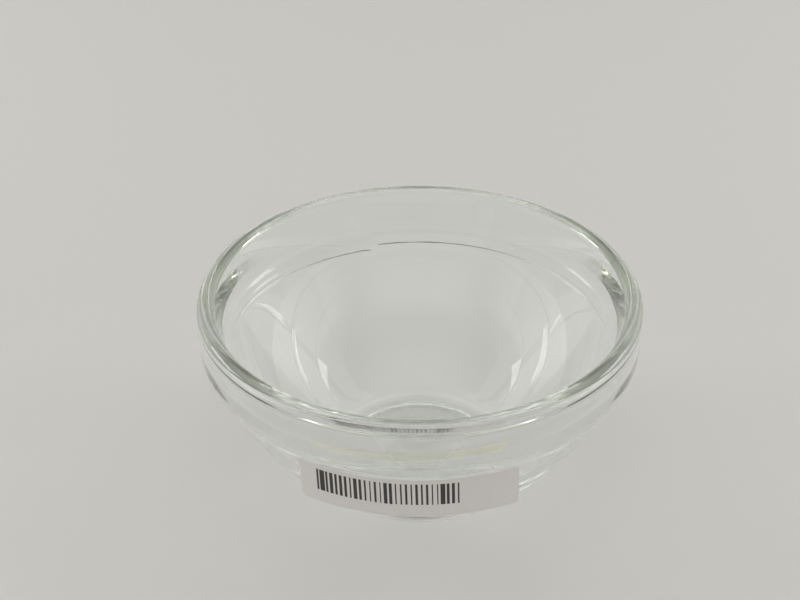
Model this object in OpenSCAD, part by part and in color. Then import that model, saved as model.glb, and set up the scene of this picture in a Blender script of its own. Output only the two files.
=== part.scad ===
// Stacking prep bowl: one pressed piece of clear glass and a stuck-on stock label.
// Millimetres, +Z up. The origin is the centre of the foot, on the surface that the bowl stands on.
// The label is at the front, towards -Y.

/* [Rim and collar] */
// Outside diameter over the collar
rim_d = 90; // [76:1:104]
// Height from the foot to the crown of the lip
bowl_h = 45; // [40:0.5:58]
// Height from the crown of the lip down to the crease under the collar
collar_h = 14.1; // [11:0.1:17]
// Width of the full-round lip on top of the collar
collar_t = 3.6; // [3:0.1:4.4]
// Rounding of the lower outer edge of the collar, seen in section
collar_edge_r = 6.5; // [4:0.1:8]
// Lean of the inside of the collar, in degrees from upright
collar_draft = 15.5; // [14:0.5:18]

/* [Side] */
// Width of the shoulder, how far the side steps in under the collar
shoulder_w = 2.7; // [1.8:0.1:3.2]
// Rounding in the crease between the collar and the side
crease_r = 0.3; // [0.2:0.05:0.6]
// Radius of the outward curve of the side, seen in section
side_r = 74; // [60:1:100]
// Radius of the curve of the inside of the side
side_in_r = 46; // [43:0.5:52]

/* [Base] */
// Diameter at which the side would meet the table if the heel were sharp
foot_d = 40.6; // [34:0.2:52]
// Distance in from there at which the curve of the inside would meet the table
base_w = 16; // [13:0.2:17]
// Rounding of the heel, between the side and the foot ring
heel_r = 4.5; // [2:0.1:5.5]
// Width of the flat ring that the bowl stands on
foot_ring_w = 1.4; // [1:0.1:5]
// Depth of the hollow in the underside, within the foot ring
kick_h = 0.8; // [0.3:0.1:1.6]
// Height of the floor above the table
floor_t = 4.2; // [3:0.1:7]
// Rounding inside, between the floor and the side
floor_r = 16; // [8:0.5:20]

/* [Label] */
// Width of the label, straight across
label_w = 40.4; // [20:0.2:50]
// Height of the label
label_h = 8.7; // [6:0.1:14]
// Radius of the label's corners
label_corner_r = 0.6; // [0.3:0.1:2.5]
// Height above the crease at which the middle of the label's upper edge lies on the collar
label_rise = 0.65; // [0.6:0.05:1.5]
// Turn of the label about the bowl's axis, in degrees from the front
label_turn = -3; // [-20:1:20]
// Tilt of the label, in degrees, with its end towards +X higher
label_tilt = 1.5; // [-1.5:0.1:1.5]
// Thickness of the label's face film
film_t = 0.1; // [0.05:0.01:0.2]
// Thickness of the adhesive layer behind the film
adhesive_t = 0.04; // [0.02:0.01:0.08]

/* [Hidden] */
// Clearance between the adhesive and the collar at the label's upper edge
label_gap = 0.02;
// Widest gap between an arc of the outline and the chords that stand for it
arc_sag = 0.008;
// Overrun of every cut past the face that it cuts
overrun = 2;

$fn = 96;

rim_r = rim_d / 2;
lip_r = collar_t / 2;
lip_c = [rim_r - lip_r, bowl_h - lip_r];
foot_r = foot_d / 2;
neck = [rim_r - shoulder_w, bowl_h - collar_h];

// The collar's lower edge is an arc that starts upright and ends in the crease
edge_turn = acos(1 - shoulder_w / collar_edge_r);
edge_c = [rim_r - collar_edge_r, neck[1] + collar_edge_r * sin(edge_turn)];

// The inside of the collar is straight, from the end of the lip's arc down to the curve of the side
wall_up = [sin(collar_draft), cos(collar_draft)];
wall_in = [-cos(collar_draft), sin(collar_draft)];
lip_end = lip_c + lip_r * wall_in;

// Each face of the side is one arc, from table height to the crease or to the inside of the collar
side_c = arc_centre([foot_r, 0], neck, side_r);
base_in = [foot_r - base_w, 0];
inner_c = base_in + down_wall(lip_end + side_in_r * wall_in - base_in, side_in_r);

// Centres of the roundings along the outline
heel_c = on_arc(side_c, side_r - heel_r, heel_r);
crease_c = lower_crossing(side_c, side_r + crease_r, edge_c, collar_edge_r + crease_r);
floor_c = on_arc(inner_c, side_in_r - floor_r, floor_t + floor_r);
kick_r = heel_c[0] - foot_ring_w;

// Centre of an arc of some radius through two points, on the bowl's side of them
function arc_centre(low, high, radius) =
    let (chord = high - low)
    (low + high) / 2
        + sqrt(pow(radius, 2) - pow(norm(chord) / 2, 2)) * [-chord[1], chord[0]] / norm(chord);

// Point of an arc at a height, on the side away from the bowl's axis
function on_arc(centre, radius, height) =
    [centre[0] + sqrt(pow(radius, 2) - pow(centre[1] - height, 2)), height];

// Lower one of the two points where two circles cross
function lower_crossing(first_c, first_r, second_c, second_r) =
    let (
        apart = norm(second_c - first_c),
        way = (second_c - first_c) / apart,
        along = (pow(first_r, 2) - pow(second_r, 2) + pow(apart, 2)) / (2 * apart)
    )
    first_c + along * way + sqrt(pow(first_r, 2) - pow(along, 2)) * [way[1], -way[0]];

// First point at some distance from the origin, straight down the collar's inside from a start
function down_wall(start, distance) =
    let (rise = start * wall_up)
    start - (rise - sqrt(pow(rise, 2) - start * start + pow(distance, 2))) * wall_up;

// Direction of a point seen from a centre, in degrees
function bearing(centre, point) =
    atan2(point[1] - centre[1], point[0] - centre[0]);

// Points along an arc, as few as keep its chords close to it
function arc(centre, radius, from, to) =
    let (count = ceil(abs(to - from) / (2 * acos(1 - min(1, arc_sag / radius)))))
    [for (i = [0:count])
        let (angle = from + (to - from) * i / count)
        centre + radius * [cos(angle), sin(angle)]];

// Half section of the glass, from the underside round the outside to the lip and down the inside
outline = concat(
    [[0, kick_h], [kick_r - kick_h, kick_h], [kick_r, 0]],
    arc(heel_c, heel_r, -90, bearing(side_c, heel_c)),
    arc(side_c, side_r, bearing(side_c, heel_c), bearing(side_c, crease_c)),
    arc(crease_c, crease_r, bearing(crease_c, side_c), bearing(crease_c, edge_c)),
    arc(edge_c, collar_edge_r, bearing(edge_c, crease_c), 0),
    arc(lip_c, lip_r, 0, 180 - collar_draft),
    arc(inner_c, side_in_r, -collar_draft, bearing(inner_c, floor_c)),
    arc(floor_c, floor_r, bearing(inner_c, floor_c), -90),
    [[0, floor_t]]
);

module glass_bowl() {
    color([0.84, 0.92, 0.89, 0.45])
        rotate_extrude()
            polygon(outline);
}

// The label stands upright, and its upper edge touches the underside of the collar all along.
// Its tilt takes that edge up the underside, so the label's own axis lies a little to one side.
label_top = neck[1] + label_rise;
edge_drop = edge_c[1] - label_top;
edge_reach = sqrt(pow(collar_edge_r, 2) - pow(edge_drop, 2));
label_r = edge_c[0] + edge_reach + label_gap;
label_shift = edge_drop / edge_reach * tan(label_tilt) * label_r;

// A rectangle with rounded corners, hung from the middle of its upper edge
module rounded_rectangle(width, height, corner_r) {
    translate([-width / 2 + corner_r, -height])
        square([width - 2 * corner_r, height]);
    translate([-width / 2, -height + corner_r])
        square([width, height - 2 * corner_r]);
    for (side = [-1, 1], level = [-corner_r, corner_r - height])
        translate([side * (width / 2 - corner_r), level])
            circle(corner_r);
}

// One layer of the label: an upright tube off the collar, trimmed to the label's outline
module label_layer(off, thickness) {
    rotate(label_turn)
        intersection() {
            translate([label_shift, 0, label_top - label_h - overrun])
                rotate_extrude()
                    translate([label_r + off, 0])
                        square([thickness, label_h + 2 * overrun]);
            translate([0, 0, label_top])
                rotate([90, 0, 0])
                    linear_extrude(rim_r)
                        rotate(label_tilt)
                            rounded_rectangle(label_w, label_h, label_corner_r);
        }
}

module label_adhesive() {
    color([0.90, 0.86, 0.72, 0.6])
        label_layer(0, adhesive_t);
}

module label_film() {
    color("#e8e2e0")
        label_layer(adhesive_t, film_t);
}

glass_bowl();
label_adhesive();
label_film();
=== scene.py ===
"""Stacking prep bowl of clear pressed glass, with a stock label stuck on its front."""

import math

import bpy
from mathutils import Matrix, Vector


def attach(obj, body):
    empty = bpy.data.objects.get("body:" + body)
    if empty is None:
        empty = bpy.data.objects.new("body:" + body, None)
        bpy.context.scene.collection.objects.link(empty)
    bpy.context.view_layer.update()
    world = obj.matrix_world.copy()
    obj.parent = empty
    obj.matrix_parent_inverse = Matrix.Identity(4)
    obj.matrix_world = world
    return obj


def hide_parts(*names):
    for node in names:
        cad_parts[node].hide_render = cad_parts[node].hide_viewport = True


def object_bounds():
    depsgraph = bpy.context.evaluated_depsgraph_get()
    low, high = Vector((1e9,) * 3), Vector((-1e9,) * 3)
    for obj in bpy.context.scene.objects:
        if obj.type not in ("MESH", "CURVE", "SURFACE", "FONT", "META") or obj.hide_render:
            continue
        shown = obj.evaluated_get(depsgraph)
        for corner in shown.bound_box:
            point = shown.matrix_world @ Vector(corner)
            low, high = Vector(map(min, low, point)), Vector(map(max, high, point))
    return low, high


bl_info = {
    "name": "Prep Bowl",
    "version": (1, 0, 0),
    "blender": (4, 5, 0),
    "location": "View3D > Sidebar > Prep Bowl",
    "description": "Dresses the CAD frame of a pressed glass prep bowl with its glass, label and print",
    "category": "Add Mesh",
}

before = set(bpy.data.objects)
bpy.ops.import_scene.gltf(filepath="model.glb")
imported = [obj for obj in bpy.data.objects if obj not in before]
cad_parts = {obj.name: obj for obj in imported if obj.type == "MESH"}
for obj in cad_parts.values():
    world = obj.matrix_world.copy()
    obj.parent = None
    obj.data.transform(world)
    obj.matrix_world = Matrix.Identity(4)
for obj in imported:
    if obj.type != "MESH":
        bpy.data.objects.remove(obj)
CAD_LOW, CAD_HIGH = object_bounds()

MM = 0.001
FULL_TURN = 2 * math.pi
# Points of a piece that are closer than this are one point
WELD = MM / 1000
# The node that the trees use most
MATH = "ShaderNodeMath"
# The Mix node's two colours and the colour that it gives, by number because its names repeat
MIX_FIRST, MIX_SECOND, MIXED = 6, 7, 2


# Helpers that every piece uses


def linear(hex_colour):
    """An sRGB hex colour as linear red, green, blue and alpha."""
    shares = [int(hex_colour[i:i + 2], 16) / 255 for i in (1, 3, 5)]
    return [c / 12.92 if c <= 0.04045 else ((c + 0.055) / 1.055) ** 2.4 for c in shares] + [1.0]


def length(name, description, metres):
    """A property for a size in metres."""
    return bpy.props.FloatProperty(
        name=name, description=description, default=metres, unit="LENGTH", precision=5
    )


def turn(name, description, degrees):
    """A property for an angle."""
    return bpy.props.FloatProperty(
        name=name, description=description, default=math.radians(degrees), subtype="ANGLE"
    )


def count(name, description, number):
    """A property for a whole number."""
    return bpy.props.IntProperty(name=name, description=description, default=number, min=1)


def share(name, description, value):
    """A property for a plain ratio or strength."""
    return bpy.props.FloatProperty(name=name, description=description, default=value, precision=3)


def colour(name, description, hex_colour):
    """A property for a colour, written as sRGB hex."""
    return bpy.props.FloatVectorProperty(
        name=name, description=description, default=linear(hex_colour), subtype="COLOR", size=4
    )


def add_node(tree, kind, inputs=None, **settings):
    """Adds a node, with its settings, and sets or links its inputs by name or number.

    A node that is given as an input is linked from its first output.
    """
    node = tree.nodes.new(kind)
    for name, value in settings.items():
        setattr(node, name, value)
    for key, value in (inputs or {}).items():
        if isinstance(value, bpy.types.Node):
            value = value.outputs[0]
        if isinstance(value, bpy.types.NodeSocket):
            tree.links.new(value, node.inputs[key])
        else:
            node.inputs[key].default_value = value
    return node


def new_material(name):
    """An empty node material and its tree."""
    material = bpy.data.materials.new(name)
    material.use_nodes = True
    material.node_tree.nodes.clear()
    return material, material.node_tree


def new_geometry_tree(name, inputs):
    """A geometry tree with the named inputs, as {name: socket type}, and the sockets of its inputs."""
    tree = bpy.data.node_groups.new(name, "GeometryNodeTree")
    tree.interface.new_socket("Geometry", in_out="INPUT", socket_type="NodeSocketGeometry")
    for label, kind in inputs.items():
        tree.interface.new_socket(label, in_out="INPUT", socket_type=kind)
    tree.interface.new_socket("Geometry", in_out="OUTPUT", socket_type="NodeSocketGeometry")
    return tree, add_node(tree, "NodeGroupInput").outputs


def finish_tree(tree, geometry, material):
    """Ends a geometry tree: real mesh, one material."""
    realised = add_node(tree, "GeometryNodeRealizeInstances", {"Geometry": geometry})
    painted = add_node(
        tree, "GeometryNodeSetMaterial", {"Geometry": realised, "Material": material}
    )
    add_node(tree, "NodeGroupOutput", {0: painted})


def mesh_object(name, points, edges=(), faces=()):
    """A new mesh object at the origin."""
    mesh = bpy.data.meshes.new(name)
    mesh.from_pydata([tuple(p) for p in points], edges, faces)
    piece = bpy.data.objects.new(name, mesh)
    bpy.context.scene.collection.objects.link(piece)
    return piece


def grow(piece, tree, values):
    """Runs a geometry tree on a piece with the given inputs and keeps the result as its mesh."""
    modifier = piece.modifiers.new(tree.name, "NODES")
    modifier.node_group = tree
    for item in tree.interface.items_tree:
        if item.in_out == "INPUT" and item.name in values:
            modifier[item.identifier] = values[item.name]
    graph = bpy.context.evaluated_depsgraph_get()
    mesh = bpy.data.meshes.new_from_object(piece.evaluated_get(graph))
    piece.modifiers.clear()
    piece.data = mesh
    mesh.name = piece.name


def dress(piece, slot, *nodes):
    """Seats a finished piece on the part's body and hides the CAD nodes it stands for."""
    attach(piece, "root")
    if nodes:
        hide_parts(*nodes)


# Sizes and colours that a user would change


class BowlSizes(bpy.types.PropertyGroup):
    """Sizes of the pressed glass."""

    rim_diameter: length(
        "Rim Diameter", "Outside diameter over the collar", 2 * min(CAD_HIGH.x, -CAD_LOW.x)
    )
    height: length("Height", "From the foot to the crown of the lip", CAD_HIGH.z - CAD_LOW.z)
    collar_height: length("Collar Height", "From the crown of the lip to the crease", 14.1 * MM)
    collar_wall: length("Collar Wall", "Width of the full-round lip", 3.6 * MM)
    collar_edge: length("Collar Edge", "Rounding of the collar's lower outer edge", 6.5 * MM)
    collar_draft: turn("Collar Draft", "Lean of the collar's inside", 15.5)
    shoulder_width: length("Shoulder Width", "How far the side steps in under the collar", 2.7 * MM)
    crease_round: length("Crease Round", "Rounding in the crease under the collar", 0.3 * MM)
    side_radius: length("Side Radius", "Radius of the outward curve of the side", 74 * MM)
    inner_radius: length("Inner Radius", "Radius of the curve of the side's inside", 46 * MM)
    foot_diameter: length("Foot Diameter", "Where the side would meet the table", 40.6 * MM)
    base_width: length("Base Width", "From there in to where the inside would meet it", 16 * MM)
    heel_round: length("Heel Round", "Rounding between the side and the foot ring", 4.5 * MM)
    foot_ring: length("Foot Ring", "Width of the flat ring that the bowl stands on", 1.4 * MM)
    kick: length("Kick", "Depth of the hollow under the floor", 0.8 * MM)
    floor: length("Floor", "Height of the floor above the table", 4.2 * MM)
    floor_round: length("Floor Round", "Rounding inside between floor and side", 16 * MM)
    polish: length("Fire Polish", "Radius that the flame leaves on a pressed corner", 0.2 * MM)
    segments: count("Segments", "Steps round the bowl", 320)
    wave: length("Wave", "Depth of the soft waves that pressing leaves in both faces", 0.02 * MM)
    wave_length: length("Wave Length", "From one such wave to the next", 13 * MM)
    seam_turn: turn("Seam Turn", "Where the ends of the mould's seam miss each other", 105.5)
    seam_miss: length("Seam Miss", "How far the ends of the seam miss each other", 0.9 * MM)
    seam_recovery: turn("Seam Recovery", "Turn over which the seam climbs back from its miss", 75)
    seam_wobble: length("Seam Wobble", "Unevenness of the seam next to its miss", 0.22 * MM)
    seam_wobbles: share("Seam Wobbles", "How many times it wobbles in a radian", 9)
    seam_slope: share("Seam Slope", "How far the wall goes in for each length the seam sinks", 0.37)
    seam_blend: length("Seam Blend", "Height of wall that takes up the seam's sinking", 2.6 * MM)
    seam_ridge: length("Seam Ridge", "Height of the ridge that the seam leaves", 0.14 * MM)
    seam_width: length("Seam Width", "Half width of that ridge", 0.47 * MM)
    ridge_low: share("Ridge Low", "Least height of the ridge, as a share", 0.7)
    ridge_high: share("Ridge High", "Most height of the ridge, as a share", 1.3)
    ridge_at_miss: share("Ridge At Miss", "Its height next to the seam's miss, as a share", 1.7)


class LabelSizes(bpy.types.PropertyGroup):
    """Sizes and colours of the stock label."""

    width: length("Width", "Straight across, from end to end", 40.4 * MM)
    height: length("Height", "From the lower to the upper edge", 8.7 * MM)
    corner: length("Corner", "Radius of the corners", 0.6 * MM)
    rise: length("Rise", "From the crease up to the middle of the label's upper edge", 0.65 * MM)
    facing: turn("Facing", "Turn of the label from the front", -3)
    tilt: turn("Tilt", "Tilt of the label, with its right end higher", 1.5)
    stand_off: length("Stand Off", "Glass to the back of the film", 0.062 * MM)
    film: length("Film", "Thickness of the face film", 0.1 * MM)
    crease: length("Crease", "Height of the creases in the film", 0.12 * MM)
    ink: length("Ink", "Thickness of the ink, drawn thicker so that it shows", 0.015 * MM)
    stripes: count("Stripes", "Number of printed stripes", 29)
    stripe_pitch: length("Stripe Pitch", "From one stripe to the next", 0.95 * MM)
    stripe_height: length("Stripe Height", "Length of the stripes, down the label", 4.9 * MM)
    stripe_start: length("Stripe Start", "First stripe, right of the label's middle", -17.3 * MM)
    stripe_level: length("Stripe Level", "Middle of the stripes, over the upper edge", -3.4 * MM)
    stripe_thin: share("Stripe Thin", "Narrowest stripe as a share of the pitch", 0.22)
    stripe_fill: share("Stripe Fill", "Widest stripe as a share of the pitch", 1.05)
    stripe_seed: count("Stripe Seed", "Which row of widths is drawn", 5)
    film_colour: colour("Film Colour", "White label stock", "#e7e4dc")
    adhesive_colour: colour("Adhesive Colour", "Adhesive seen through the glass", "#f8f4e8")
    ink_colour: colour("Ink Colour", "Thermal print", "#2e2c2b")


class StageSettings(bpy.types.PropertyGroup):
    """Table, lamps and camera."""

    table_colour: colour("Table Colour", "Pale table under the bowl", "#d2d0cb")
    table_reach: length("Table Reach", "From the middle of the table to its edges", 2.0)
    table_gap: length("Table Gap", "How far the table lies under the foot", 0.05 * MM)
    distance: length("Camera Distance", "From the lens to the middle of the rim", 253.4 * MM)
    elevation: turn("Camera Elevation", "Height of the camera above the rim's level", 32.80)
    lens: share("Lens", "Focal length in millimetres on a 36 mm frame", 56.25)
    image_px: count("Image Width", "Pixels across the image", 800)
    right_px: share("Right", "Middle of the rim, in pixels right of the image's middle", 19.3)
    up_px: share("Up", "Middle of the rim, in pixels above the image's middle", 12.4)
    room: share("Room", "Even light from all round", 0.10)
    walls: share("Walls", "Light from the tent's walls, to both sides and behind", 0.80)
    sides: share("Sides", "Light from low beside the bowl", 0.86)
    roof: share("Roof", "Light from the tent's roof", 0.98)
    front: share("Front", "Light from the open front, under the roof", 0.70)
    side_lamps: share("Side Lamps", "Power of each side lamp in watts", 0.45)
    lamp_aside: length("Lamp Aside", "From the rim's middle out to each lamp", 0.56)
    lamp_behind: length("Lamp Behind", "From the rim's middle back to the lamps", 0.18)
    lamp_above: length("Lamp Above", "From the rim's middle up to the lamps", 0.275)
    lamp_width: length("Lamp Width", "Width of each lamp", 0.22)
    lamp_height: length("Lamp Height", "Height of each lamp", 0.16)


# The pressed glass

# What each point of the section carries: how much it follows the seam, how high the seam's ridge is
# there, and how freely the glass waves
SECTION_SHARES = ("seam", "ridge", "free")


def arc(centre, radius, start, end, steps):
    """Points along an arc, with both its ends."""
    angles = [start + (end - start) * i / steps for i in range(steps + 1)]
    return [centre + radius * Vector((math.cos(a), math.sin(a))) for a in angles]


def stretch(start, end, steps=8):
    """Points along a straight stretch, closer together near its ends, so its shading stays flat."""
    shares = [(1 - math.cos(math.pi * i / steps)) / 2 for i in range(steps + 1)]
    return [start.lerp(end, t) for t in shares]


def rounded_corner(before, corner, after, radius, steps=6):
    """The arc that rounds a corner between two straight stretches."""
    back, ahead = (before - corner).normalized(), (after - corner).normalized()
    half = back.angle(ahead) / 2
    centre = corner + (back + ahead).normalized() * radius / math.sin(half)
    first, last = (corner + way * radius / math.tan(half) - centre for way in (back, ahead))
    start = math.atan2(first.y, first.x)
    sweep = math.atan2(last.y, last.x) - start
    sweep -= FULL_TURN * round(sweep / FULL_TURN)
    return arc(centre, radius, start, start + sweep, steps)


def arc_centre(low, high, radius):
    """The centre of an arc through two points, on the bowl's side of them."""
    chord = high - low
    rise = math.sqrt(radius ** 2 - chord.length_squared / 4)
    return (low + high) / 2 + rise * Vector((-chord.y, chord.x)).normalized()


def on_arc(centre, radius, height):
    """The point of an arc at a height, away from the bowl's axis."""
    return Vector((centre.x + math.sqrt(radius ** 2 - (centre.y - height) ** 2), height))


def bearing(centre, point):
    """The direction of a point seen from a centre."""
    return math.atan2(point.y - centre.y, point.x - centre.x)


def collar_edge(size):
    """The crease under the collar, and the centre of the arc that rounds the collar's lower edge."""
    rim = size.rim_diameter / 2
    crease = Vector((rim - size.shoulder_width, size.height - size.collar_height))
    sweep = math.acos(1 - size.shoulder_width / size.collar_edge)
    return crease, Vector((rim - size.collar_edge, crease.y + size.collar_edge * math.sin(sweep)))


def bowl_section(size):
    """Half section of the glass, radius and height, from under the floor round the lip to the floor.

    Returns its points and the number of them that lie on the outside.
    """
    lip = size.collar_wall / 2
    crown = Vector((size.rim_diameter / 2 - lip, size.height - lip))
    crease, edge = collar_edge(size)
    foot = Vector((size.foot_diameter / 2, 0))
    side = arc_centre(foot, crease, size.side_radius)

    # The inside of the collar leans and runs on into the side's arc
    up = Vector((math.sin(size.collar_draft), math.cos(size.collar_draft)))
    inward = Vector((-up.y, up.x))
    lip_end = crown + lip * inward
    base = foot - Vector((size.base_width, 0))
    start = lip_end + size.inner_radius * inward - base
    reach = start.dot(up)
    fall = reach - math.sqrt(reach ** 2 - start.length_squared + size.inner_radius ** 2)
    inner = base + start - fall * up

    # A small rounding in the crease touches the side and the collar's edge
    way = edge - side
    to_side = size.side_radius + size.crease_round
    to_edge = size.collar_edge + size.crease_round
    along = (to_side ** 2 - to_edge ** 2 + way.length_squared) / (2 * way.length)
    way.normalize()
    nook = side + along * way + math.sqrt(to_side ** 2 - along ** 2) * Vector((way.y, -way.x))

    heel = on_arc(side, size.side_radius - size.heel_round, size.heel_round)
    floor = on_arc(inner, size.inner_radius - size.floor_round, size.floor + size.floor_round)
    under = Vector((0, size.kick))
    kick_out = Vector((heel.x - size.foot_ring, 0))
    kick_in = Vector((kick_out.x - size.kick, size.kick))
    heel_low = Vector((heel.x, 0))
    foot_in = rounded_corner(under, kick_in, kick_out, size.polish)
    foot_out = rounded_corner(kick_in, kick_out, heel_low, size.polish)

    # Steps are finer next to the crease, where the seam wanders
    side_end, edge_end = bearing(side, nook), bearing(edge, nook)
    side_fine = side_end - size.seam_blend / 2 / size.side_radius
    edge_fine = edge_end + size.seam_blend / 2 / size.collar_edge
    outside = [
        *stretch(under, foot_in[0]),
        *foot_in,
        *foot_out,
        *stretch(foot_out[-1], heel_low, steps=4),
        *arc(heel, size.heel_round, -math.pi / 2, bearing(side, heel), steps=10),
        *arc(side, size.side_radius, bearing(side, heel), side_fine, steps=34),
        *arc(side, size.side_radius, side_fine, side_end, steps=14),
        *arc(nook, size.crease_round, bearing(nook, side), bearing(nook, edge), steps=6),
        *arc(edge, size.collar_edge, edge_end, edge_fine, steps=16),
        *arc(edge, size.collar_edge, edge_fine, 0, steps=16),
        *stretch(edge + Vector((size.collar_edge, 0)), crown + Vector((lip, 0))),
        *arc(crown, lip, 0, math.pi - size.collar_draft, steps=28),
    ]
    hollow = [
        *stretch(lip_end, lip_end - fall * up, steps=16),
        *arc(inner, size.inner_radius, -size.collar_draft, bearing(inner, floor), steps=40),
        *arc(floor, size.floor_round, bearing(inner, floor), -math.pi / 2, steps=18),
        *stretch(Vector((floor.x, size.floor)), Vector((0, size.floor))),
    ]
    points, before_hollow = [], 0
    for number, point in enumerate(outside + hollow):
        if not points or (point - points[-1]).length > WELD:
            points.append(point)
        if number == len(outside):
            before_hollow = len(points)
    return points, before_hollow


def revolve_tree():
    """Geometry tree that turns a half section about Z, with waves in its faces and a wandering seam."""
    tree, given = new_geometry_tree("pressed_bowl", {
        "Segments": "NodeSocketInt",
        "Seam Turn": "NodeSocketFloat",
        "Seam Miss": "NodeSocketFloat",
        "Seam Recovery": "NodeSocketFloat",
        "Seam Wobble": "NodeSocketFloat",
        "Seam Wobbles": "NodeSocketFloat",
        "Seam Slope": "NodeSocketFloat",
        "Seam Ridge": "NodeSocketFloat",
        "Ridge Low": "NodeSocketFloat",
        "Ridge High": "NodeSocketFloat",
        "Ridge At Miss": "NodeSocketFloat",
        "Wave": "NodeSocketFloat",
        "Wave Length": "NodeSocketFloat",
        "Material": "NodeSocketMaterial",
    })
    section = given["Geometry"]

    # The grid has a row for each point of the section and a column for each step round the bowl
    rows = add_node(
        tree, "GeometryNodeAttributeDomainSize", {"Geometry": section}
    ).outputs["Point Count"]
    columns = add_node(tree, MATH, {0: given["Segments"], 1: 1.0}, operation="ADD")
    grid = add_node(tree, "GeometryNodeMeshGrid", {"Vertices X": columns, "Vertices Y": rows})
    index = add_node(tree, "GeometryNodeInputIndex")
    row = add_node(tree, MATH, {0: index, 1: rows}, operation="FLOORED_MODULO")
    column_start = add_node(tree, MATH, {0: index, 1: row}, operation="SUBTRACT")
    column = add_node(tree, MATH, {0: column_start, 1: rows}, operation="DIVIDE")
    angle = add_node(
        tree, "ShaderNodeMapRange",
        {"Value": column, "From Max": given["Segments"], "To Max": FULL_TURN},
    )

    # The section's own place and shares at this row
    fields = {"place": add_node(tree, "GeometryNodeInputPosition")}
    for name in SECTION_SHARES:
        fields[name] = add_node(tree, "GeometryNodeInputNamedAttribute", {"Name": name})
    at_row = {
        name: add_node(
            tree, "GeometryNodeSampleIndex",
            {"Geometry": section, "Value": field, "Index": row},
            data_type="FLOAT_VECTOR" if name == "place" else "FLOAT",
        )
        for name, field in fields.items()
    }
    row_radius, _, row_height = add_node(
        tree, "ShaderNodeSeparateXYZ", {0: at_row["place"]}
    ).outputs

    # The seam starts below its other end at the miss and climbs back to it along its first stretch
    from_miss = add_node(tree, MATH, {0: angle, 1: given["Seam Turn"]}, operation="SUBTRACT")
    past_miss = add_node(tree, MATH, {0: from_miss, 1: FULL_TURN}, operation="FLOORED_MODULO")
    fade = add_node(
        tree, "ShaderNodeMapRange",
        {"Value": past_miss, "From Max": given["Seam Recovery"], "To Min": 1.0, "To Max": 0.0},
        interpolation_type="SMOOTHSTEP",
    )
    noise = add_node(
        tree, "ShaderNodeTexNoise",
        {"W": angle, "Scale": given["Seam Wobbles"], "Detail": 3.0},
        noise_dimensions="1D",
    )
    swing = add_node(tree, MATH, {0: noise, 1: 0.5}, operation="SUBTRACT")
    wobble = add_node(tree, MATH, {0: swing, 1: given["Seam Wobble"]}, operation="MULTIPLY")
    drop = add_node(tree, MATH, {0: wobble, 1: given["Seam Miss"]}, operation="SUBTRACT")
    for factor in (fade, at_row["seam"]):
        drop = add_node(tree, MATH, {0: drop, 1: factor}, operation="MULTIPLY")
    radius = add_node(
        tree, MATH, {0: drop, 1: given["Seam Slope"], 2: row_radius}, operation="MULTIPLY_ADD"
    )
    height = add_node(tree, MATH, {0: drop, 1: row_height}, operation="ADD")
    arm = add_node(tree, "ShaderNodeCombineXYZ", {"X": radius, "Z": height})
    spun = add_node(
        tree, "ShaderNodeVectorRotate", {"Vector": arm, "Angle": angle}, rotation_type="Z_AXIS"
    )
    placed = add_node(tree, "GeometryNodeSetPosition", {"Geometry": grid, "Position": spun})

    # Waves only take glass away, so that the bowl keeps its outer sizes
    wave_scale = add_node(tree, MATH, {0: 1.0, 1: given["Wave Length"]}, operation="DIVIDE")
    wave = add_node(
        tree, "ShaderNodeTexNoise", {"Vector": spun, "Scale": wave_scale, "Detail": 1.0}
    )
    dip = given["Wave"]
    for factor in (wave, at_row["free"]):
        dip = add_node(tree, MATH, {0: dip, 1: factor}, operation="MULTIPLY")

    # The ridge stands on the seam and is highest next to its miss
    uneven = add_node(
        tree, "ShaderNodeMapRange",
        {"Value": noise, "To Min": given["Ridge Low"], "To Max": given["Ridge High"]},
    )
    raised = add_node(
        tree, "ShaderNodeMapRange",
        {"Value": fade, "To Min": 1.0, "To Max": given["Ridge At Miss"]},
    )
    crest = given["Seam Ridge"]
    for factor in (at_row["ridge"], uneven, raised):
        crest = add_node(tree, MATH, {0: crest, 1: factor}, operation="MULTIPLY")

    # The last column is joined to the first before the faces swell
    swell = add_node(tree, MATH, {0: crest, 1: dip}, operation="SUBTRACT")
    marked = add_node(
        tree, "GeometryNodeStoreNamedAttribute",
        {"Geometry": placed, "Name": "swell", "Value": swell},
        data_type="FLOAT",
    )
    closed = add_node(
        tree, "GeometryNodeMergeByDistance", {"Geometry": marked, "Distance": WELD}
    )
    kept_swell = add_node(tree, "GeometryNodeInputNamedAttribute", {"Name": "swell"})
    normal = add_node(tree, "GeometryNodeInputNormal")
    outward = add_node(
        tree, "ShaderNodeVectorMath", {0: normal, "Scale": kept_swell}, operation="SCALE"
    )
    swollen = add_node(tree, "GeometryNodeSetPosition", {"Geometry": closed, "Offset": outward})
    smooth = add_node(tree, "GeometryNodeSetShadeSmooth", {"Geometry": swollen})
    finish_tree(tree, smooth, given["Material"])
    return tree


def pressed_glass():
    """Pressed soda-lime glass, fire-polished: clear, faintly green where light runs along it."""
    material, tree = new_material("soda_lime_glass_pressed")
    body = add_node(tree, "ShaderNodeBsdfPrincipled", {
        "Base Color": linear("#fbfdfc"),
        "Roughness": 0.0,
        "IOR": 1.52,
        "Transmission Weight": 1.0,
    })
    tint = add_node(
        tree, "ShaderNodeVolumeAbsorption", {"Color": linear("#c8cdb9"), "Density": 6.5}
    )
    add_node(tree, "ShaderNodeOutputMaterial", {"Surface": body, "Volume": tint})
    return material


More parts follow.
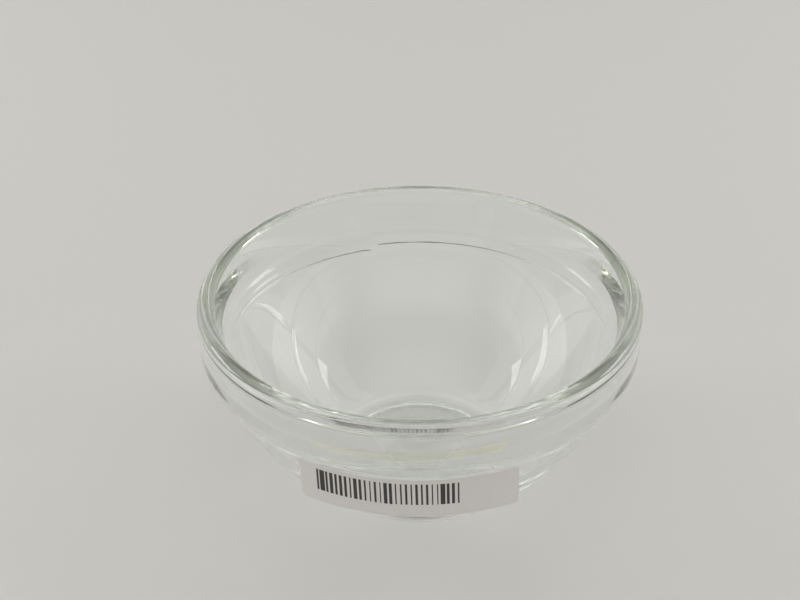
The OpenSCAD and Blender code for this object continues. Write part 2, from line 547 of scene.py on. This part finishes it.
class PREPBOWL_OT_glass(bpy.types.Operator):
    """Turn the pressed glass from its half section"""

    bl_idname = "prepbowl.glass"
    bl_label = "Glass Bowl"

    def execute(self, context):
        size = context.scene.prepbowl_bowl
        points, before_hollow = bowl_section(size)
        crease = collar_edge(size)[0].y
        piece = mesh_object(
            "pressed_glass_bowl",
            [(p.x, 0, p.y) for p in points],
            [(i, i + 1) for i in range(len(points) - 1)],
        )
        shares = piece.data.attributes
        for name in SECTION_SHARES:
            shares.new(name, "FLOAT", "POINT")
        for i, point in enumerate(points):
            shares["free"].data[i].value = min(1.0, point.y / size.floor)
            if i < before_hollow:
                above = point.y - crease
                # Eased at both ends, so that the wall bends softly to the seam
                near = max(0.0, 1 - abs(above) / size.seam_blend)
                shares["seam"].data[i].value = near * near * (3 - 2 * near)
                shares["ridge"].data[i].value = math.exp(-(above / size.seam_width - 1) ** 2)
        grow(piece, revolve_tree(), {
            "Segments": size.segments,
            "Seam Turn": size.seam_turn,
            "Seam Miss": size.seam_miss,
            "Seam Recovery": size.seam_recovery,
            "Seam Wobble": size.seam_wobble,
            "Seam Wobbles": size.seam_wobbles,
            "Seam Slope": size.seam_slope,
            "Seam Ridge": size.seam_ridge,
            "Ridge Low": size.ridge_low,
            "Ridge High": size.ridge_high,
            "Ridge At Miss": size.ridge_at_miss,
            "Wave": size.wave,
            "Wave Length": size.wave_length,
            "Material": pressed_glass(),
        })
        dress(piece, "clear_glass", "glass_bowl")
        return {"FINISHED"}


# The label and its print

# Soft creases down the film: how far right of its middle, half width, and lean
FILM_CREASES = (
    (-2.6 * MM, 1.1 * MM, 0.12),
    (9.4 * MM, 0.7 * MM, -0.25),
    (11.2 * MM, 0.5 * MM, 0.18),
)
# Steps of the film's mesh: along it, up it between its corners, and round a corner
FILM_COLUMNS, FILM_ROWS, CORNER_STEPS = 96, 16, 6
# An edge of the film that turns by more than this is a cut edge and stays sharp
CUT_EDGE = math.radians(40)


def label_seat(size, label):
    """The radius at which the label's upper edge lies on the collar, its height, and its axis' shift.

    The tilted edge climbs the collar's rounded underside, so that axis lies a little to one side.
    """
    crease, edge = collar_edge(size)
    top = crease.y + label.rise
    drop = edge.y - top
    reach = math.sqrt(size.collar_edge ** 2 - drop ** 2)
    radius = edge.x + reach
    return radius, top, drop / reach * math.tan(label.tilt) * radius


def label_wrap_tree():
    """Geometry tree that hangs what lies flat in X and Y, off the film in Z, under the collar."""
    tree, given = new_geometry_tree("label_wrap", {
        "Radius": "NodeSocketFloat",
        "Top": "NodeSocketFloat",
        "Shift": "NodeSocketFloat",
        "Middle": "NodeSocketFloat",
        "Height": "NodeSocketFloat",
        "Tilt": "NodeSocketFloat",
        "Facing": "NodeSocketFloat",
        "Stand Off": "NodeSocketFloat",
        "Crease": "NodeSocketFloat",
        "Material": "NodeSocketMaterial",
    })
    place = add_node(tree, "GeometryNodeInputPosition")
    right, up, _ = add_node(tree, "ShaderNodeSeparateXYZ", {0: place}).outputs

    # The creases fade out towards the edge that is stuck on
    creases = 0.0
    for across, width, lean in FILM_CREASES:
        line = add_node(tree, MATH, {0: up, 1: lean, 2: across}, operation="MULTIPLY_ADD")
        beside = add_node(tree, MATH, {0: right, 1: line}, operation="SUBTRACT")
        widths = add_node(tree, MATH, {0: beside, 1: width}, operation="DIVIDE")
        square = add_node(tree, MATH, {0: widths, 1: widths}, operation="MULTIPLY")
        fall = add_node(tree, MATH, {0: square, 1: -1.0}, operation="MULTIPLY")
        bump = add_node(tree, MATH, {0: fall}, operation="EXPONENT")
        creases = add_node(tree, MATH, {0: creases, 1: bump}, operation="ADD")
    depth = add_node(tree, MATH, {0: up, 1: -1.0}, operation="MULTIPLY")
    free = add_node(
        tree, "ShaderNodeMapRange", {"Value": depth, "From Max": given["Height"]},
        interpolation_type="SMOOTHSTEP",
    )
    lift = given["Crease"]
    for factor in (creases, free):
        lift = add_node(tree, MATH, {0: lift, 1: factor}, operation="MULTIPLY")

    # The sheet is tilted, bent round the label's own axis, shifted with that axis and turned
    tilted = add_node(
        tree, "ShaderNodeVectorRotate", {"Vector": place, "Angle": given["Tilt"]},
        rotation_type="Z_AXIS",
    )
    along, level, out = add_node(tree, "ShaderNodeSeparateXYZ", {0: tilted}).outputs
    for distance in (given["Stand Off"], lift, given["Radius"]):
        out = add_node(tree, MATH, {0: out, 1: distance}, operation="ADD")
    front = add_node(tree, MATH, {0: out, 1: -1.0}, operation="MULTIPLY")
    height = add_node(tree, MATH, {0: level, 1: given["Top"]}, operation="ADD")
    arm = add_node(tree, "ShaderNodeCombineXYZ", {"Y": front, "Z": height})
    way_round = add_node(tree, MATH, {0: along, 1: given["Radius"]}, operation="DIVIDE")
    angle = add_node(tree, MATH, {0: way_round, 1: given["Middle"]}, operation="SUBTRACT")
    bent = add_node(
        tree, "ShaderNodeVectorRotate", {"Vector": arm, "Angle": angle}, rotation_type="Z_AXIS"
    )
    axis = add_node(tree, "ShaderNodeCombineXYZ", {"X": given["Shift"]})
    shifted = add_node(tree, "ShaderNodeVectorMath", {0: bent, 1: axis}, operation="ADD")
    turned = add_node(
        tree, "ShaderNodeVectorRotate", {"Vector": shifted, "Angle": given["Facing"]},
        rotation_type="Z_AXIS",
    )
    placed = add_node(
        tree, "GeometryNodeSetPosition", {"Geometry": given["Geometry"], "Position": turned}
    )
    finish_tree(tree, placed, given["Material"])
    return tree


def hang(piece, label, seat, material):
    """Hangs a flat piece of the label under the collar."""
    radius, top, shift = seat
    tree = bpy.data.node_groups.get("label_wrap") or label_wrap_tree()
    grow(piece, tree, {
        "Radius": radius,
        "Top": top,
        "Shift": shift,
        "Middle": math.asin(shift / radius),
        "Height": label.height,
        "Tilt": label.tilt,
        "Facing": label.facing,
        "Stand Off": label.stand_off,
        "Crease": label.crease,
        "Material": material,
    })


def label_stock():
    """White polypropylene label stock, satin: even, a little warm beside the green glass."""
    material, tree = new_material("label_stock_white_film")
    look = bpy.context.scene.prepbowl_label
    place = add_node(tree, "ShaderNodeTexCoord").outputs["Object"]
    # The grain is drawn coarser than it is, so that it shows
    grain = 0.6 * MM
    fibre = add_node(
        tree, "ShaderNodeTexNoise", {"Vector": place, "Scale": 1 / grain, "Detail": 4.0}
    )
    shade = add_node(
        tree, "ShaderNodeMix",
        {"Factor": fibre, MIX_FIRST: linear("#e2dcda"), MIX_SECOND: list(look.film_colour)},
        data_type="RGBA",
    ).outputs[MIXED]
    bump = add_node(
        tree, "ShaderNodeBump", {"Height": fibre, "Strength": 0.15, "Distance": 0.02 * MM}
    )
    film = add_node(tree, "ShaderNodeBsdfPrincipled", {
        "Base Color": shade,
        "Roughness": 0.45,
        "IOR": 1.49,
        "Normal": bump,
    })
    add_node(tree, "ShaderNodeOutputMaterial", {"Surface": film})
    return material


def label_glue():
    """Acrylic adhesive on the film's back: cream through the glass, mottled where it wets it."""
    material, tree = new_material("acrylic_adhesive_cream")
    look = bpy.context.scene.prepbowl_label
    place = add_node(tree, "ShaderNodeTexCoord").outputs["Object"]
    blot = 2.5 * MM
    blots = add_node(
        tree, "ShaderNodeTexNoise", {"Vector": place, "Scale": 1 / blot, "Detail": 3.0}
    )
    shade = add_node(
        tree, "ShaderNodeMix",
        {"Factor": blots, MIX_FIRST: linear("#d9d6c4"), MIX_SECOND: list(look.adhesive_colour)},
        data_type="RGBA",
    ).outputs[MIXED]
    glue = add_node(tree, "ShaderNodeBsdfPrincipled", {
        "Base Color": shade,
        "Roughness": 0.35,
        "IOR": 1.47,
    })
    add_node(tree, "ShaderNodeOutputMaterial", {"Surface": glue})
    return material


def print_ink():
    """Thermal-transfer ink: soft black, matt, a little worn where the ribbon missed the film."""
    material, tree = new_material("thermal_transfer_ink_black")
    look = bpy.context.scene.prepbowl_label
    place = add_node(tree, "ShaderNodeTexCoord").outputs["Object"]
    speck = 0.3 * MM
    worn = add_node(
        tree, "ShaderNodeTexNoise", {"Vector": place, "Scale": 1 / speck, "Detail": 2.0}
    )
    shade = add_node(
        tree, "ShaderNodeMix",
        {"Factor": worn, MIX_FIRST: linear("#4a4745"), MIX_SECOND: list(look.ink_colour)},
        data_type="RGBA",
    ).outputs[MIXED]
    ink = add_node(tree, "ShaderNodeBsdfPrincipled", {
        "Base Color": shade,
        "Roughness": 0.6,
        "IOR": 1.5,
    })
    add_node(tree, "ShaderNodeOutputMaterial", {"Surface": ink})
    return material


def flat_film(label, seat):
    """The film laid flat, a closed sheet with rounded corners: its points and faces.

    It hangs from the middle of its upper edge, and its ends are as far apart as the label is wide.
    """
    radius, _, shift = seat
    middle = math.asin(shift / radius)
    ends = [
        radius * (math.asin((side * label.width / 2 - shift) / radius) + middle) for side in (-1, 1)
    ]
    corner = label.corner
    straight = label.height - 2 * corner
    levels = [corner * (1 - math.cos(math.pi / 2 * i / CORNER_STEPS)) for i in range(CORNER_STEPS)]
    heights = levels + [corner + straight * i / FILM_ROWS for i in range(FILM_ROWS + 1)]
    heights += [label.height - level for level in reversed(levels)]
    points, faces = [], []
    for off in (0.0, label.film):
        for height in heights:
            from_edge = min(height, label.height - height, corner)
            inset = corner - math.sqrt(corner ** 2 - (corner - from_edge) ** 2)
            left, right = ends[0] + inset, ends[1] - inset
            points += [
                (left + (right - left) * j / FILM_COLUMNS, height - label.height, off)
                for j in range(FILM_COLUMNS + 1)
            ]
    wide, tall = FILM_COLUMNS + 1, len(heights)
    front = wide * tall
    for i in range(tall - 1):
        for j in range(FILM_COLUMNS):
            quad = [i * wide + j, i * wide + j + 1, (i + 1) * wide + j + 1, (i + 1) * wide + j]
            faces.append([front + k for k in quad])
            faces.append(quad[::-1])
    rim = list(range(FILM_COLUMNS))
    rim += [i * wide + FILM_COLUMNS for i in range(tall - 1)]
    rim += [(tall - 1) * wide + j for j in range(FILM_COLUMNS, 0, -1)]
    rim += [i * wide for i in range(tall - 1, 0, -1)]
    for here, there in zip(rim, rim[1:] + rim[:1]):
        faces.append([here, there, front + there, front + here])
    return points, faces


class PREPBOWL_OT_label(bpy.types.Operator):
    """Hang the label's face film at the front and finish the adhesive behind it"""

    bl_idname = "prepbowl.label"
    bl_label = "Label"

    def execute(self, context):
        label = context.scene.prepbowl_label
        seat = label_seat(context.scene.prepbowl_bowl, label)
        points, faces = flat_film(label, seat)
        piece = mesh_object("label_face_film", points, faces=faces)
        hang(piece, label, seat, label_stock())
        piece.data.polygons.foreach_set("use_smooth", [True] * len(piece.data.polygons))
        piece.data.set_sharp_from_angle(angle=CUT_EDGE)
        dress(piece, "label_film", "label_film")
        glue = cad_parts["label_adhesive"]
        glue.data.materials.clear()
        glue.data.materials.append(label_glue())
        return {"FINISHED"}


def stripes_tree():
    """Geometry tree that stands a row of stripes of seeded widths on the flat film."""
    tree, given = new_geometry_tree("label_stripes", {
        "Stripes": "NodeSocketInt",
        "Pitch": "NodeSocketFloat",
        "Thin": "NodeSocketFloat",
        "Fill": "NodeSocketFloat",
        "Start": "NodeSocketVector",
        "Size": "NodeSocketVector",
        "Seed": "NodeSocketInt",
        "Material": "NodeSocketMaterial",
    })
    step = add_node(tree, "ShaderNodeCombineXYZ", {"X": given["Pitch"]})
    row = add_node(tree, "GeometryNodeMeshLine", {
        "Count": given["Stripes"], "Start Location": given["Start"], "Offset": step,
    })
    bar = add_node(tree, "GeometryNodeMeshCube", {
        "Size": given["Size"], "Vertices X": 2, "Vertices Y": 5, "Vertices Z": 2,
    })
    # The random node's second output is the one for plain numbers
    chance = add_node(
        tree, "FunctionNodeRandomValue", {"Seed": given["Seed"]}, data_type="FLOAT"
    ).outputs[1]
    mostly_thin = add_node(tree, MATH, {0: chance, 1: 2.0}, operation="POWER")
    width = add_node(
        tree, "ShaderNodeMapRange",
        {"Value": mostly_thin, "To Min": given["Thin"], "To Max": given["Fill"]},
    )
    scale = add_node(tree, "ShaderNodeCombineXYZ", {"X": width, "Y": 1.0, "Z": 1.0})
    bars = add_node(
        tree, "GeometryNodeInstanceOnPoints", {"Points": row, "Instance": bar, "Scale": scale}
    )
    finish_tree(tree, bars, given["Material"])
    return tree


class PREPBOWL_OT_print(bpy.types.Operator):
    """Print a plain row of stripes on the label"""

    bl_idname = "prepbowl.print"
    bl_label = "Label Print"

    def execute(self, context):
        label = context.scene.prepbowl_label
        seat = label_seat(context.scene.prepbowl_bowl, label)
        ink = print_ink()
        piece = mesh_object("label_print_stripes", [(0, 0, 0)])
        grow(piece, stripes_tree(), {
            "Stripes": label.stripes,
            "Pitch": label.stripe_pitch,
            "Thin": label.stripe_thin,
            "Fill": label.stripe_fill,
            "Start": (label.stripe_start, label.stripe_level, label.film),
            "Size": (label.stripe_pitch, label.stripe_height, label.ink),
            "Seed": label.stripe_seed,
            "Material": ink,
        })
        hang(piece, label, seat, ink)
        dress(piece, "label_film")
        return {"FINISHED"}


# The stage

# Where in the tent each light starts and where it is full, along a direction of length 1.
# Aside is to either side, back is away from the viewer.
TENT_LIGHTS = {
    "walls": {"aside": (0.0, 0.5), "back": (-0.3, 0.4)},
    "sides": {"aside": (0.6, 0.9), "up": (0.5, 0.4)},
    "roof": {"up": (0.65, 1.0)},
    "front": {"back": (-0.5, -0.9), "up": (0.64, 0.48)},
}
# Light crosses the thick glass many times before it gets out
BOUNCES = 64


def pale_table():
    """Pale matt laminate table: even warm grey."""
    material, tree = new_material("pale_table_laminate")
    stage = bpy.context.scene.prepbowl_stage
    top = add_node(tree, "ShaderNodeBsdfPrincipled", {
        "Base Color": list(stage.table_colour),
        "Roughness": 0.8,
    })
    add_node(tree, "ShaderNodeOutputMaterial", {"Surface": top})
    return material


def light_tent(stage):
    """A world like a light tent that is open to the viewer: pale walls, low sides and a white roof."""
    world = bpy.data.worlds.new("light_tent")
    world.use_nodes = True
    tree = world.node_tree
    tree.nodes.clear()
    direction = add_node(tree, "ShaderNodeTexCoord").outputs["Generated"]
    across, back, up = add_node(tree, "ShaderNodeSeparateXYZ", {0: direction}).outputs
    ways = {
        "aside": add_node(tree, MATH, {0: across}, operation="ABSOLUTE"),
        "back": back,
        "up": up,
    }
    level = stage.room
    for name, limits in TENT_LIGHTS.items():
        light = getattr(stage, name)
        for way, (start, full) in limits.items():
            fade = add_node(
                tree, "ShaderNodeMapRange",
                {"Value": ways[way], "From Min": start, "From Max": full},
                interpolation_type="SMOOTHSTEP",
            )
            light = add_node(tree, MATH, {0: light, 1: fade}, operation="MULTIPLY")
        level = add_node(tree, MATH, {0: level, 1: light}, operation="ADD")
    glow = add_node(tree, "ShaderNodeBackground", {"Color": linear("#ffffff"), "Strength": level})
    add_node(tree, "ShaderNodeOutputWorld", {"Surface": glow})
    return world


def softbox(name, place, aim, stage):
    """A rectangular area lamp at a place, turned to a point."""
    data = bpy.data.lights.new(name, "AREA")
    data.shape = "RECTANGLE"
    data.size = stage.lamp_width
    data.size_y = stage.lamp_height
    data.energy = stage.side_lamps
    lamp = bpy.data.objects.new(name, data)
    lamp.location = place
    lamp.rotation_euler = (aim - place).to_track_quat("-Z", "Y").to_euler()
    bpy.context.scene.collection.objects.link(lamp)


def camera_on(rim, stage):
    """A camera that shows the middle of the rim at its place in the image."""
    lens = bpy.data.cameras.new("camera")
    lens.lens = stage.lens
    lens.clip_start = 10 * MM
    lens.clip_end = 5 * stage.table_reach
    camera = bpy.data.objects.new("camera", lens)
    bpy.context.scene.collection.objects.link(camera)
    focal_px = stage.lens / lens.sensor_width * stage.image_px
    level = Matrix.Rotation(math.pi / 2 - stage.elevation, 4, "X")
    tilt = Matrix.Rotation(-math.atan2(stage.up_px, focal_px), 4, "X")
    pan = Matrix.Rotation(math.atan2(stage.right_px, focal_px), 4, "Y")
    away = Vector((0, -math.cos(stage.elevation), math.sin(stage.elevation)))
    camera.matrix_world = Matrix.Translation(rim + away * stage.distance) @ level @ tilt @ pan
    return camera


class PREPBOWL_OT_stage(bpy.types.Operator):
    """Set the table, the lamps and the camera"""

    bl_idname = "prepbowl.stage"
    bl_label = "Stage"

    def execute(self, context):
        scene = context.scene
        stage = scene.prepbowl_stage
        rim = Vector((0, 0, scene.prepbowl_bowl.height))
        reach = stage.table_reach
        low = CAD_LOW.z - stage.table_gap
        corners = [(x * reach, y * reach, low) for x, y in ((-1, -1), (1, -1), (1, 1), (-1, 1))]
        table = mesh_object("table", corners, faces=[(0, 1, 2, 3)])
        table.data.materials.append(pale_table())

        scene.world = light_tent(stage)
        for name, side in (("softbox_left", -1), ("softbox_right", 1)):
            off = Vector((side * stage.lamp_aside, stage.lamp_behind, stage.lamp_above))
            softbox(name, rim + off, rim, stage)

        scene.camera = camera_on(rim, stage)
        scene.view_settings.view_transform = "Standard"
        scene.cycles.blur_glossy = 0
        scene.cycles.max_bounces = BOUNCES
        scene.cycles.glossy_bounces = BOUNCES
        scene.cycles.transmission_bounces = BOUNCES
        return {"FINISHED"}


class PREPBOWL_PT_panel(bpy.types.Panel):
    """Lists the pieces of the bowl and their sizes"""

    bl_idname = "PREPBOWL_PT_panel"
    bl_label = "Prep Bowl"
    bl_space_type = "VIEW_3D"
    bl_region_type = "UI"
    bl_category = "Prep Bowl"

    def draw(self, context):
        for operator in OPERATORS:
            self.layout.operator(operator.bl_idname)
        for name in GROUPS:
            column = self.layout.column()
            settings = getattr(context.scene, name)
            for key in settings.__annotations__:
                column.prop(settings, key)


GROUPS = {
    "prepbowl_bowl": BowlSizes,
    "prepbowl_label": LabelSizes,
    "prepbowl_stage": StageSettings,
}
OPERATORS = (PREPBOWL_OT_glass, PREPBOWL_OT_label, PREPBOWL_OT_print, PREPBOWL_OT_stage)


def register():
    """Adds the classes and the scene's settings."""
    for kind in (*GROUPS.values(), *OPERATORS, PREPBOWL_PT_panel):
        bpy.utils.register_class(kind)
    for name, kind in GROUPS.items():
        setattr(bpy.types.Scene, name, bpy.props.PointerProperty(type=kind))


def unregister():
    """Takes them away again."""
    for name in GROUPS:
        delattr(bpy.types.Scene, name)
    for kind in (PREPBOWL_PT_panel, *reversed(OPERATORS), *GROUPS.values()):
        bpy.utils.unregister_class(kind)


def main():
    """Builds every piece and the stage."""
    register()
    bpy.ops.prepbowl.glass()
    bpy.ops.prepbowl.label()
    bpy.ops.prepbowl.print()
    bpy.ops.prepbowl.stage()


if __name__ == "__main__":
    main()
